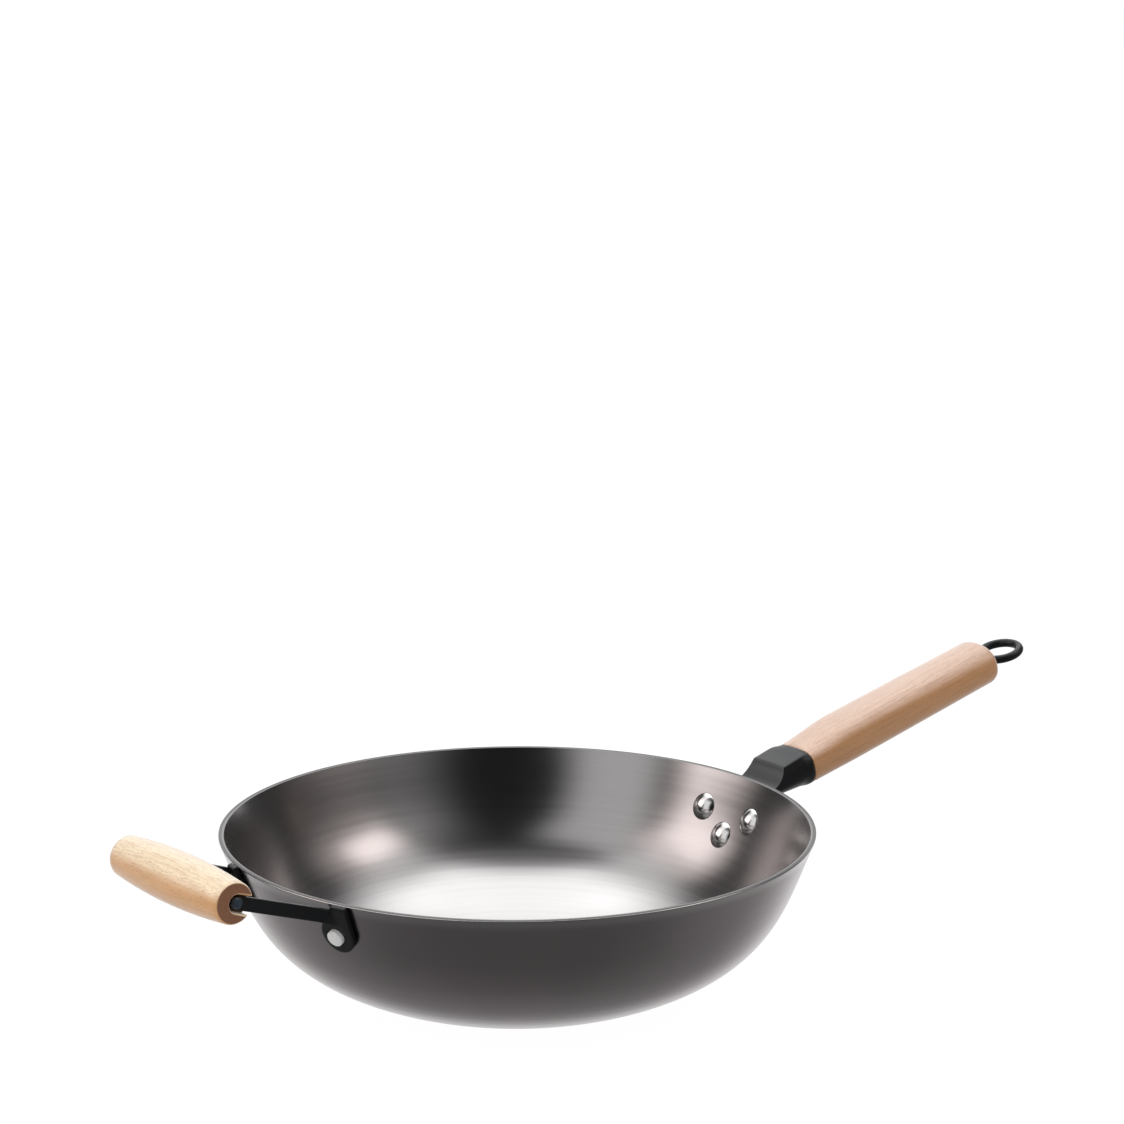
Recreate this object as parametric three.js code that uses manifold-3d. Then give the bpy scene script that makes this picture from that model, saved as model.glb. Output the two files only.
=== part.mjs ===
// Cast iron wok with a long wooden handle on one side and a wooden helper handle on the other.
// Millimetres, +Z up. The origin is on the bowl's axis, on the underside of its flat base.
// +X runs along the long handle. The helper handle is on the opposite side, at -X.

import * as THREE from 'three';
import { mergeVertices } from 'three/addons/utils/BufferGeometryUtils.js';
import loadManifold from 'manifold-3d';

const wasm = await loadManifold();
wasm.setup();

// Fits
const FIT_GAP = 0.3; // between pieces that touch, seat in or pass through one another

// Bowl: a flat base and one continuous curved wall up to a rim that is cut flat
const RIM_DIAMETER = 320;
const BOWL_HEIGHT = 90;
const BASE_DIAMETER = 120;
const BASE_THICKNESS = 4;
const RIM_THICKNESS = 3;
const BASE_RISE_ANGLE = 12.9; // slope of the wall where it leaves the base, from horizontal
const RIM_LEAN_ANGLE = 22.8; // lean of the wall at the rim, from vertical
const BASE_SWEEP = 83; // reach of the wall's lower curve
const RIM_SWEEP = 43.2; // reach of the wall's upper curve

// Rivets of the long handle: domed heads inside the bowl, formed heads outside
const HANDLE_RIVET_SPACING = 39.4; // between the upper two
const HANDLE_RIVET_DROP = 21.6; // upper two, below the rim
const LOWER_RIVET_DROP = 33.4; // lower one, below the rim
const RIVET_SHANK = 6;
const RIVET_DOME = 15.4;
const RIVET_DOME_HEIGHT = 3.6;
const HANDLE_RIVET_HEAD = 9.6;
const RIVET_HEAD_HEIGHT = 2.4;

// Handle bracket: a riveted plate and a lug that ends in an oval socket
const BRACKET_PLATE = 3;
const BRACKET_MARGIN = 9.5; // plate around each rivet
const HANDLE_TILT = 14.4;
const SOCKET_REACH = 40.4; // socket's end, where the bolt's axis crosses the rim's plane, out from the rim
const SOCKET_WIDTH = 31.4;
const SOCKET_TOP = 10.7; // above the bolt's axis
const SOCKET_BOTTOM = 9.8; // below the bolt's axis
const SOCKET_FULLNESS = 3.2; // 2 is an ellipse, more is squarer
const SOCKET_WALL = 2.6;
const SOCKET_DEPTH = 12;
const LUG_LENGTH = 56; // from the end of the socket to inside the bowl's wall, where it is trimmed
const LUG_ROOT_BOTTOM = 3; // underside of the lug at its inner end, below the bolt's axis
const SADDLE_RADIUS = 16; // hollow front of the lug, over the rim
const SADDLE_REACH = 4; // middle of the hollow, out from the rim
const SADDLE_DROP = 8; // lowest point of the hollow, below the rim
const THREAD_DEPTH = 10;

// Wooden grip of the long handle
const GRIP_LENGTH = 152;
const GRIP_WIDTH = 32.6;
const GRIP_TOP = 15; // above the bolt's axis
const GRIP_BOTTOM = 12.2; // below the bolt's axis
const GRIP_FULLNESS = 2.3;
const GRIP_SHOULDER = 36; // length over which the socket's section grows to the full one
const GRIP_BUTT_ROUND = 6.5;

// Eye bolt that holds the grip on and ends in the hanging ring
const BOLT_DIAMETER = 6;
const BOLT_SHOULDER = 11;
const BOLT_SHOULDER_THICKNESS = 3;
const RING_WIRE = 5;
const RING_DIAMETER = 23.4; // to the middle of the wire

// Helper handle: two arms bent from strip, riveted under the rim, and a wooden barrel between them
const HELPER_REACH = 52.5; // barrel's axis, out from the rim
const HELPER_RISE = 13.1; // barrel's axis above the rim
const HELPER_TURN = 0.8; // of the helper handle about the bowl's axis, from straight opposite
const BARREL_LENGTH = 99.4;
const BARREL_DIAMETER = 27;
const BARREL_END_DIAMETER = 21.5;
const BARREL_END_ROUND = 1.2;
const ARM_INSET = 4.7; // middle of the arm, in from the barrel's end
const ARM_TOE_IN = 2.5; // how far the arm closes in on its way to the bowl
const ARM_HEIGHT = 7.2;
const ARM_THICKNESS = 3;
const ARM_ROOT_DROP = 7; // middle of the arm where it meets the bowl, below the rim
const FOOT_WIDTH = 8.5;
const FOOT_RISE = 0.3; // above the rim
const FOOT_TOE_RADIUS = 9.6;
const RIVET_OFFSET = 1.8; // from the middle of the arm to the -Y side, where its foot is
const HELPER_RIVET_DROP = 17;
const HELPER_RIVET_HEAD = 11;
const PIN_DIAMETER = 4.5;
const PIN_HEAD = 6.4;
const PIN_HEAD_THICKNESS = 1.6;
const PIN_OFFSET = 3; // from the barrel's axis towards the bowl
const SLOT_PLAY = 1.2; // room in the barrel's slot, above and below the arm
const SLOT_LEAD = 1.5; // how far the slot's round end lies beyond the arm's

// Fineness of round surfaces
const BOWL_SEGMENTS = 60;
const WALL_STEPS = 10;
const ROUND_SEGMENTS = 16;
const OVAL_SIDES = 28;
const ROUND_STEPS = 4;

const rad = THREE.MathUtils.degToRad;
const RIM_RADIUS = RIM_DIAMETER / 2;
const SOCKET_END_X = RIM_RADIUS + SOCKET_REACH;
const SADDLE_X = RIM_RADIUS + SADDLE_REACH;
const BARREL_X = -RIM_RADIUS - HELPER_REACH;
const ARM_Y = BARREL_LENGTH / 2 - ARM_INSET;
const ARM_ROOT_Y = ARM_Y - ARM_TOE_IN;

// Closed three.js geometry as a solid that can be joined and cut
function toSolid(geometry) {
  const bare = geometry.clone();
  bare.deleteAttribute('normal');
  bare.deleteAttribute('uv');
  const merged = mergeVertices(bare, 1e-4);
  const corners = [];
  for (let i = 0; i < merged.index.count; i += 3) {
    const [a, b, c] = merged.index.array.slice(i, i + 3);
    if (a !== b && b !== c && c !== a) corners.push(a, b, c);
  }
  return new wasm.Manifold(new wasm.Mesh({
    numProp: 3,
    vertProperties: Float32Array.from(merged.attributes.position.array),
    triVerts: Uint32Array.from(corners),
  }));
}

function toGeometry(solid) {
  const { vertProperties, triVerts } = solid.getMesh();
  const geometry = new THREE.BufferGeometry();
  geometry.setAttribute('position', new THREE.BufferAttribute(vertProperties, 3));
  geometry.setIndex(new THREE.BufferAttribute(triVerts, 1));
  geometry.computeVertexNormals();
  return geometry;
}

// Profile turned about Z; points are (radius, height)
function turned(profile, segments) {
  return new THREE.LatheGeometry(profile, segments).rotateX(Math.PI / 2);
}

// Round bar along a local X axis, from one station to another
function bar(diameter, from, to, frame) {
  const geometry = new THREE.CylinderGeometry(diameter / 2, diameter / 2, to - from, ROUND_SEGMENTS);
  geometry.rotateZ(-Math.PI / 2).translate((from + to) / 2, 0, 0);
  return toSolid(geometry.applyMatrix4(frame));
}

// Flat outline drawn in (Y, Z), made into a block from one X to another
function slab(outline, from, to, frame) {
  const options = { depth: to - from, bevelEnabled: false, curveSegments: ROUND_STEPS * 2 };
  const geometry = new THREE.ExtrudeGeometry(outline, options);
  const axes = new THREE.Matrix4().makeBasis(
    new THREE.Vector3(0, 1, 0), new THREE.Vector3(0, 0, 1), new THREE.Vector3(1, 0, 0));
  return toSolid(geometry.applyMatrix4(axes).translate(from, 0, 0).applyMatrix4(frame));
}

// Closed skin through rings of equally many points, with a flat face at each end
function loft(rings) {
  const sides = rings[0].length;
  const index = [];
  for (let ring = 0; ring < rings.length - 1; ring++) {
    for (let side = 0; side < sides; side++) {
      const a = ring * sides + side;
      const b = ring * sides + (side + 1) % sides;
      index.push(a, b, b + sides, a, b + sides, a + sides);
    }
  }
  const end = (rings.length - 1) * sides;
  for (let side = 1; side < sides - 1; side++) {
    index.push(0, side + 1, side, end, end + side, end + side + 1);
  }
  const geometry = new THREE.BufferGeometry().setFromPoints(rings.flat());
  geometry.setIndex(index);
  return geometry;
}

// Oval section across a local X axis; top and bottom may differ
function ovalRing(station, { width, top, bottom, fullness }) {
  return Array.from({ length: OVAL_SIDES }, (_, i) => {
    const angle = (i / OVAL_SIDES) * 2 * Math.PI;
    const [c, s] = [Math.cos(angle), Math.sin(angle)];
    const height = s > 0 ? top : bottom;
    const reach = (Math.abs(2 * c / width) ** fullness + Math.abs(s / height) ** fullness) ** (-1 / fullness);
    return new THREE.Vector3(station, reach * c, reach * s);
  });
}

// Outer wall of the bowl as a curve of (radius, height), and its outward normal
const baseTangent = new THREE.Vector2(Math.cos(rad(BASE_RISE_ANGLE)), Math.sin(rad(BASE_RISE_ANGLE)));
const rimTangent = new THREE.Vector2(Math.sin(rad(RIM_LEAN_ANGLE)), Math.cos(rad(RIM_LEAN_ANGLE)));
const baseCorner = new THREE.Vector2(BASE_DIAMETER / 2, 0);
const rimCorner = new THREE.Vector2(RIM_RADIUS, BOWL_HEIGHT);
const wall = new THREE.CubicBezierCurve(
  baseCorner, baseCorner.clone().addScaledVector(baseTangent, BASE_SWEEP),
  rimCorner.clone().addScaledVector(rimTangent, -RIM_SWEEP), rimCorner);

function wallPoint(along, outward) {
  const tangent = wall.getTangent(along);
  return wall.getPoint(along).add(new THREE.Vector2(tangent.y, -tangent.x).multiplyScalar(outward));
}

function wallAtDrop(drop) {
  let [low, high] = [0, 1];
  while (high - low > 1e-6) {
    const middle = (low + high) / 2;
    if (wall.getPoint(middle).y < BOWL_HEIGHT - drop) low = middle;
    else high = middle;
  }
  return low;
}

const RIM_OVERRUN = 2 * FOOT_RISE + RIM_THICKNESS;
const wallSteps = Array.from({ length: WALL_STEPS + 1 }, (_, i) => i / WALL_STEPS);

// Local frame on the outer wall: X outward, Y sideways along the rim, Z up the wall
function wallFrame(drop, azimuth) {
  const along = wallAtDrop(drop);
  const point = wall.getPoint(along);
  const lean = Math.atan2(wall.getTangent(along).x, wall.getTangent(along).y);
  return new THREE.Matrix4().makeRotationZ(azimuth)
    .multiply(new THREE.Matrix4().makeTranslation(point.x, 0, point.y))
    .multiply(new THREE.Matrix4().makeRotationY(lean));
}

// Everything inside the bowl's outer wall, grown by a gap and carried on above the rim,
// for trimming what stands against it
function bowlEnvelope(outward) {
  const side = wallSteps.map((along) => wallPoint(along, outward));
  side.push(side.at(-1).clone().addScaledVector(rimTangent, RIM_OVERRUN));
  const foot = new THREE.Vector2(0, side[0].y);
  const lid = new THREE.Vector2(0, side.at(-1).y);
  return toSolid(turned([foot, ...side, lid], BOWL_SEGMENTS));
}

// Sheet that follows the outer wall, a gap away from it
function wallSheet(thickness) {
  return bowlEnvelope(FIT_GAP + thickness).subtract(bowlEnvelope(FIT_GAP));
}

// Rivet places on the wall
const upperRivetAngle = Math.asin(HANDLE_RIVET_SPACING / 2 / wall.getPoint(wallAtDrop(HANDLE_RIVET_DROP)).x);
const handleRivets = {
  handle_rivet_left: wallFrame(HANDLE_RIVET_DROP, upperRivetAngle),
  handle_rivet_right: wallFrame(HANDLE_RIVET_DROP, -upperRivetAngle),
  handle_rivet_lower: wallFrame(LOWER_RIVET_DROP, 0),
};

// Both helper feet turn to the -Y side of their arms
const helperSides = { left: 1, right: -1 };

function helperRivetAngle(side) {
  const wallRadius = wall.getPoint(wallAtDrop(HELPER_RIVET_DROP)).x;
  return Math.PI + rad(HELPER_TURN) - Math.asin((side * ARM_ROOT_Y - RIVET_OFFSET) / wallRadius);
}

const helperRivets = Object.fromEntries(Object.entries(helperSides).map(
  ([name, side]) => [`helper_rivet_${name}`, wallFrame(HELPER_RIVET_DROP, helperRivetAngle(side))]));

const SHANK_HOLE = RIVET_SHANK + 2 * FIT_GAP;
const HOLE_REACH = 3 * (RIM_THICKNESS + BRACKET_PLATE + ARM_THICKNESS);

function rivetHole(frame) {
  return bar(SHANK_HOLE, -HOLE_REACH, HOLE_REACH, frame);
}

// Inner face of the wall, from the base up to the rim, moved further in by a gap
function insideWall(gap) {
  return wallSteps.map((along) =>
    wallPoint(along, -THREE.MathUtils.lerp(BASE_THICKNESS, RIM_THICKNESS, along) - gap));
}

function makeBowl() {
  const outside = wallSteps.map((along) => wallPoint(along, 0));
  const inside = insideWall(0).slice(0, -1);
  const rimWidth = RIM_THICKNESS / Math.cos(rad(RIM_LEAN_ANGLE));
  const profile = [
    new THREE.Vector2(0, 0), ...outside, new THREE.Vector2(RIM_RADIUS - rimWidth, BOWL_HEIGHT),
    ...inside.reverse(), new THREE.Vector2(0, inside.at(-1).y)];
  const holes = [...Object.values(handleRivets), ...Object.values(helperRivets)].map(rivetHole);
  return holes.reduce((bowl, hole) => bowl.subtract(hole), toSolid(turned(profile, BOWL_SEGMENTS)));
}

// Domed head inside the bowl, shank through wall and plate, low formed head outside
function makeRivet(frame, plate, headDiameter) {
  const inner = -RIM_THICKNESS - FIT_GAP;
  const outer = plate + 2 * FIT_GAP;
  const dome = [new THREE.Vector2(0, inner - RIVET_DOME_HEIGHT)];
  for (let i = 1; i <= ROUND_STEPS; i++) {
    const turn = (i / ROUND_STEPS) * Math.PI / 2;
    dome.push(new THREE.Vector2(RIVET_DOME / 2 * Math.sin(turn), inner - RIVET_DOME_HEIGHT * Math.cos(turn)));
  }
  const sunk = inner + RIM_THICKNESS / 2;
  dome.push(new THREE.Vector2(RIVET_DOME / 2, sunk), new THREE.Vector2(0, sunk));
  const top = outer + RIVET_HEAD_HEIGHT;
  const head = [
    new THREE.Vector2(0, outer), new THREE.Vector2(headDiameter / 2, outer),
    new THREE.Vector2(headDiameter / 2, (outer + top) / 2),
    new THREE.Vector2(headDiameter / 3, top), new THREE.Vector2(0, top)];
  const alongX = frame.clone().multiply(new THREE.Matrix4().makeRotationZ(-Math.PI / 2));
  const placed = (profile) => toSolid(new THREE.LatheGeometry(profile, ROUND_SEGMENTS).applyMatrix4(alongX));
  const seat = insideWall(FIT_GAP);
  const hollow = toSolid(turned(
    [new THREE.Vector2(0, seat[0].y), ...seat, new THREE.Vector2(0, seat.at(-1).y)], BOWL_SEGMENTS));
  return placed(dome).intersect(hollow)
    .add(bar(RIVET_SHANK, inner - RIVET_DOME_HEIGHT / 2, outer + RIVET_HEAD_HEIGHT / 2, frame))
    .add(placed(head));
}

// Handle frame: X along the bolt, from the end of the socket
const handleFrame = new THREE.Matrix4().makeTranslation(SOCKET_END_X, 0, BOWL_HEIGHT)
  .multiply(new THREE.Matrix4().makeRotationY(-rad(HANDLE_TILT)));
const socketSection = {
  width: SOCKET_WIDTH, top: SOCKET_TOP, bottom: SOCKET_BOTTOM, fullness: SOCKET_FULLNESS };

function inset(section, amount) {
  return {
    width: section.width - 2 * amount, top: section.top - amount, bottom: section.bottom - amount,
    fullness: section.fullness };
}

function prism(section, from, to) {
  return toSolid(loft([ovalRing(from, section), ovalRing(to, section)]).applyMatrix4(handleFrame));
}

// Outline at one distance around a triangle of points, given anticlockwise
function roundedOutline(points, margin) {
  const shape = new THREE.Shape();
  points.forEach((point, i) => {
    const before = points[(i + points.length - 1) % points.length];
    const after = points[(i + 1) % points.length];
    const from = Math.atan2(point.y - before.y, point.x - before.x) - Math.PI / 2;
    const to = Math.atan2(after.y - point.y, after.x - point.x) - Math.PI / 2;
    shape.absarc(point.x, point.y, margin, from, to, false);
  });
  return shape;
}

function makeHandleBracket() {
  const level = new THREE.Matrix4().makeTranslation(0, 0, BOWL_HEIGHT);
  const plateOutline = roundedOutline([
    new THREE.Vector2(-HANDLE_RIVET_SPACING / 2, -HANDLE_RIVET_DROP), new THREE.Vector2(0, -LOWER_RIVET_DROP),
    new THREE.Vector2(HANDLE_RIVET_SPACING / 2, -HANDLE_RIVET_DROP)], BRACKET_MARGIN);
  const plate = wallSheet(BRACKET_PLATE).intersect(slab(plateOutline, 0, SOCKET_END_X, level));

  const lugRoot = { ...socketSection, bottom: LUG_ROOT_BOTTOM };
  const lugSkin = loft([ovalRing(-LUG_LENGTH, lugRoot), ovalRing(0, socketSection)]);
  const saddle = toSolid(new THREE.CylinderGeometry(
    SADDLE_RADIUS, SADDLE_RADIUS, 2 * SOCKET_WIDTH, BOWL_SEGMENTS)
    .translate(SADDLE_X, 0, BOWL_HEIGHT - SADDLE_DROP + SADDLE_RADIUS));
  const aboveSaddle = toSolid(new THREE.BoxGeometry(SADDLE_X, 2 * SOCKET_WIDTH, 2 * BOWL_HEIGHT)
    .translate(SADDLE_X / 2, 0, 2 * BOWL_HEIGHT - SADDLE_DROP));
  const lug = toSolid(lugSkin.applyMatrix4(handleFrame))
    .subtract(saddle).subtract(aboveSaddle).subtract(bowlEnvelope(FIT_GAP));

  const socket = prism(inset(socketSection, SOCKET_WALL), -SOCKET_DEPTH, SOCKET_DEPTH);
  const thread = bar(BOLT_DIAMETER + 2 * FIT_GAP, -SOCKET_DEPTH - THREAD_DEPTH, 0, handleFrame);
  return Object.values(handleRivets).map(rivetHole)
    .reduce((bracket, hole) => bracket.subtract(hole), plate.add(lug))
    .subtract(socket).subtract(thread);
}

function makeGrip() {
  const full = { width: GRIP_WIDTH, top: GRIP_TOP, bottom: GRIP_BOTTOM, fullness: GRIP_FULLNESS };
  const rings = [];
  for (let i = 0; i <= ROUND_STEPS; i++) {
    const along = i / ROUND_STEPS;
    const grown = THREE.MathUtils.smoothstep(along, 0, 1);
    const blend = (key) => THREE.MathUtils.lerp(socketSection[key], full[key], grown);
    rings.push(ovalRing(FIT_GAP + along * GRIP_SHOULDER, {
      width: blend('width'), top: blend('top'), bottom: blend('bottom'), fullness: blend('fullness') }));
  }
  for (let i = 0; i <= ROUND_STEPS; i++) {
    const turn = (i / ROUND_STEPS) * Math.PI / 2;
    rings.push(ovalRing(GRIP_LENGTH - GRIP_BUTT_ROUND * (1 - Math.sin(turn)),
      inset(full, GRIP_BUTT_ROUND * (1 - Math.cos(turn)))));
  }
  const spigotSection = inset(socketSection, SOCKET_WALL + FIT_GAP);
  const spigot = prism(spigotSection, FIT_GAP - SOCKET_DEPTH, GRIP_SHOULDER / 2);
  const bore = bar(BOLT_DIAMETER + 2 * FIT_GAP, -SOCKET_DEPTH, GRIP_LENGTH + RING_WIRE, handleFrame);
  const counterbore = bar(BOLT_SHOULDER + 2 * FIT_GAP,
    GRIP_LENGTH - BOLT_SHOULDER_THICKNESS, GRIP_LENGTH + RING_WIRE, handleFrame);
  return toSolid(loft(rings).applyMatrix4(handleFrame)).add(spigot).subtract(bore).subtract(counterbore);
}

function makeEyeBolt() {
  const shoulder = GRIP_LENGTH - BOLT_SHOULDER_THICKNESS + FIT_GAP;
  const ringMiddle = GRIP_LENGTH + FIT_GAP + (RING_DIAMETER + RING_WIRE) / 2;
  const ring = new THREE.TorusGeometry(RING_DIAMETER / 2, RING_WIRE / 2, ROUND_SEGMENTS / 2, OVAL_SIDES)
    .translate(ringMiddle, 0, 0).applyMatrix4(handleFrame);
  const ringBack = ringMiddle - RING_DIAMETER / 2;
  return toSolid(ring)
    .add(bar(BOLT_DIAMETER, FIT_GAP - SOCKET_DEPTH - THREAD_DEPTH, ringBack, handleFrame))
    .add(bar(BOLT_SHOULDER, shoulder, shoulder + BOLT_SHOULDER_THICKNESS, handleFrame));
}

// Helper handle's barrel and pin, before the handle is turned to its place
const helperTurn = new THREE.Matrix4().makeRotationZ(rad(HELPER_TURN));
const helperAxis = new THREE.Vector3(BARREL_X, 0, BOWL_HEIGHT + HELPER_RISE);
const armRootX = -Math.sqrt(RIM_RADIUS ** 2 - ARM_ROOT_Y ** 2);
const armSlope = Math.atan2(HELPER_RISE + ARM_ROOT_DROP, armRootX - BARREL_X);
const pinAxis = new THREE.Vector3(
  PIN_OFFSET * Math.cos(armSlope), 0, -PIN_OFFSET * Math.sin(armSlope)).add(helperAxis);

// Bar along Y on the pin's axis
function pinBar(diameter, from, to) {
  const along = helperTurn.clone().multiply(new THREE.Matrix4().makeTranslation(pinAxis))
    .multiply(new THREE.Matrix4().makeRotationZ(Math.PI / 2));
  return bar(diameter, from, to, along);
}

// Arm's frame: origin on the pin's axis, X down the arm to the bowl, Y across its thickness
const armSplay = Math.atan2(-ARM_TOE_IN, armRootX - pinAxis.x);

function armFrame(side) {
  return helperTurn.clone()
    .multiply(new THREE.Matrix4().makeTranslation(pinAxis.x, side * ARM_Y, pinAxis.z))
    .multiply(new THREE.Matrix4().makeRotationZ(side * armSplay))
    .multiply(new THREE.Matrix4().makeRotationY(armSlope));
}

// Strip with a round end about the pin, running in to the bowl, from one Y to another
function armStrip(side, height, from, to, lead = 0) {
  const outline = new THREE.Shape();
  outline.absarc(-lead, 0, height / 2, Math.PI / 2, 3 * Math.PI / 2, false);
  outline.lineTo(HELPER_REACH + RIM_RADIUS / 2, -height / 2);
  outline.lineTo(HELPER_REACH + RIM_RADIUS / 2, height / 2);
  const options = { depth: to - from, bevelEnabled: false, curveSegments: ROUND_STEPS * 2 };
  const geometry = new THREE.ExtrudeGeometry(outline, options).rotateX(Math.PI / 2);
  return toSolid(geometry.translate(0, to, 0).applyMatrix4(armFrame(side)));
}

// Foot outline about the rivet: a strip with a round toe that widens towards the arm
function footOutline() {
  const top = HELPER_RIVET_DROP + FOOT_RISE;
  const inner = FOOT_TOE_RADIUS - FOOT_WIDTH;
  const tangent = Math.atan2(top, inner) + Math.acos(FOOT_TOE_RADIUS / Math.hypot(inner, top));
  const outline = new THREE.Shape();
  outline.moveTo(FOOT_TOE_RADIUS, top);
  outline.lineTo(inner, top);
  outline.absarc(0, 0, FOOT_TOE_RADIUS, tangent, 2 * Math.PI, false);
  return outline;
}

function makeHelperBracket(side) {
  const angle = helperRivetAngle(side);
  const radial = new THREE.Matrix4().makeRotationZ(angle)
    .multiply(new THREE.Matrix4().makeTranslation(0, 0, BOWL_HEIGHT - HELPER_RIVET_DROP));
  const foot = wallSheet(ARM_THICKNESS).intersect(slab(footOutline(), 0, -BARREL_X, radial));
  const arm = armStrip(side, ARM_HEIGHT, -ARM_THICKNESS / 2, ARM_THICKNESS / 2)
    .subtract(bowlEnvelope(FIT_GAP));
  const bend = wallSheet(ARM_THICKNESS)
    .intersect(armStrip(side, ARM_HEIGHT, -RIVET_OFFSET - FOOT_TOE_RADIUS, ARM_THICKNESS / 2));
  const pinHole = pinBar(PIN_DIAMETER + 2 * FIT_GAP, -BARREL_LENGTH, BARREL_LENGTH);
  return foot.add(arm).add(bend).subtract(rivetHole(wallFrame(HELPER_RIVET_DROP, angle))).subtract(pinHole);
}

function makeBarrel() {
  const half = BARREL_LENGTH / 2;
  const bulge = (BARREL_DIAMETER - BARREL_END_DIAMETER) / 2;
  const flank = half - BARREL_END_ROUND;
  const side = wallSteps.map((along) => {
    const y = THREE.MathUtils.lerp(-flank, flank, along);
    return new THREE.Vector2(BARREL_DIAMETER / 2 - bulge * (y / half) ** 2, y);
  });
  const endRadius = BARREL_END_DIAMETER / 2 - BARREL_END_ROUND;
  const profile = [
    new THREE.Vector2(0, -half), new THREE.Vector2(endRadius, -half), ...side,
    new THREE.Vector2(endRadius, half), new THREE.Vector2(0, half)];
  const barrel = toSolid(new THREE.LatheGeometry(profile, OVAL_SIDES)
    .translate(...helperAxis).applyMatrix4(helperTurn));
  const slotFloor = ARM_THICKNESS / 2 + FIT_GAP;
  const slotHeight = ARM_HEIGHT + 2 * SLOT_PLAY;
  const leftSlot = armStrip(helperSides.left, slotHeight, -slotFloor, half, SLOT_LEAD);
  const rightSlot = armStrip(helperSides.right, slotHeight, -half, slotFloor, SLOT_LEAD);
  return barrel.subtract(leftSlot).subtract(rightSlot)
    .subtract(pinBar(PIN_DIAMETER + 2 * FIT_GAP, -half, half));
}

function makePin() {
  const armFace = ARM_Y + ARM_THICKNESS / 2 / Math.cos(armSplay);
  const seat = armFace + PIN_HEAD / 2 * Math.tan(Math.abs(armSplay)) + FIT_GAP;
  return pinBar(PIN_DIAMETER, -seat - PIN_HEAD_THICKNESS / 2, seat + PIN_HEAD_THICKNESS / 2)
    .add(pinBar(PIN_HEAD, seat, seat + PIN_HEAD_THICKNESS))
    .add(pinBar(PIN_HEAD, -seat - PIN_HEAD_THICKNESS, -seat));
}

// Finishes
const iron = new THREE.MeshStandardMaterial({ color: 0x3a3735, roughness: 0.35, metalness: 0.9 });
const blackSteel = new THREE.MeshStandardMaterial({ color: 0x17171a, roughness: 0.4, metalness: 0.3 });
const steel = new THREE.MeshStandardMaterial({ color: 0xd6d4d0, roughness: 0.2, metalness: 1 });
const beech = new THREE.MeshStandardMaterial({ color: 0xe3bd94, roughness: 0.55, metalness: 0 });

const wok = new THREE.Group();

function addPiece(name, solid, material) {
  const mesh = new THREE.Mesh(toGeometry(solid), material);
  mesh.name = name;
  wok.add(mesh);
}

addPiece('wok_body', makeBowl(), iron);
addPiece('handle_bracket', makeHandleBracket(), blackSteel);
for (const [name, frame] of Object.entries(handleRivets)) {
  addPiece(name, makeRivet(frame, BRACKET_PLATE, HANDLE_RIVET_HEAD), steel);
}
addPiece('handle_grip', makeGrip(), beech);
addPiece('hanging_eye_bolt', makeEyeBolt(), blackSteel);
for (const [name, side] of Object.entries(helperSides)) {
  addPiece(`helper_bracket_${name}`, makeHelperBracket(side), blackSteel);
}
for (const [name, frame] of Object.entries(helperRivets)) {
  addPiece(name, makeRivet(frame, ARM_THICKNESS, HELPER_RIVET_HEAD), steel);
}
addPiece('helper_grip', makeBarrel(), beech);
addPiece('helper_grip_pin', makePin(), blackSteel);

export default wok;
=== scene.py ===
import math

import bmesh
import bpy
from mathutils import Matrix, Vector


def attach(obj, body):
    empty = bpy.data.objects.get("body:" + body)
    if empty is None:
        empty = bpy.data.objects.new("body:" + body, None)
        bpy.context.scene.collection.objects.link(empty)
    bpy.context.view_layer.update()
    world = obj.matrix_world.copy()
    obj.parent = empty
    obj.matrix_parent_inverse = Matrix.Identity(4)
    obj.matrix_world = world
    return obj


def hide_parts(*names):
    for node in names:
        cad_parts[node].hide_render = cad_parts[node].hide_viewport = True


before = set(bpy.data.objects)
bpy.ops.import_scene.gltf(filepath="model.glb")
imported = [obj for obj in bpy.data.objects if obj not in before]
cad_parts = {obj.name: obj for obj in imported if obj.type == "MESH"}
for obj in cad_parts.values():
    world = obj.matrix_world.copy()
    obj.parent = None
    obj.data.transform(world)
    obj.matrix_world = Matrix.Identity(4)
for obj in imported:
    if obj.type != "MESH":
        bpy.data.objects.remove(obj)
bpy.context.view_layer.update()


# Table, light tent and camera
# The wok stands on a plain white table in a light tent, with one large soft box above and behind it
# and one on either side. The room towards the camera is dark, so the iron shows deep tones between them.
camera_turn, camera_dip = math.radians(37.858), math.radians(12.448)
bpy.ops.object.select_all(action="DESELECT")
bpy.ops.object.camera_add(
    location=(-1.0377, -1.3738, 0.61507), rotation=(math.radians(90) - camera_dip, 0, -camera_turn))
camera = bpy.context.object
camera.name = "table_camera"
camera.data.sensor_width = 36
camera.data.lens = 107.213
bpy.context.scene.camera = camera
bpy.context.scene.view_settings.view_transform = "Standard"

away = Vector((math.sin(camera_turn), math.cos(camera_turn), 0))
aside = Vector((away.y, -away.x, 0))
upward = Vector((0, 0, 1))


def calc(tree, operation, *terms):
    """A Math node on sockets or numbers."""
    made = tree.nodes.new("ShaderNodeMath")
    made.operation = operation
    for socket, term in zip(made.inputs, terms):
        if isinstance(term, (int, float)):
            socket.default_value = term
        else:
            tree.links.new(term, socket)
    return made.outputs[0]


def fade(tree, value, start, end):
    """0 at start and 1 at end, eased between them."""
    made = tree.nodes.new("ShaderNodeMapRange")
    made.interpolation_type = "SMOOTHSTEP"
    tree.links.new(value, made.inputs["Value"])
    made.inputs["From Min"].default_value = start
    made.inputs["From Max"].default_value = end
    return made.outputs["Result"]


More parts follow.
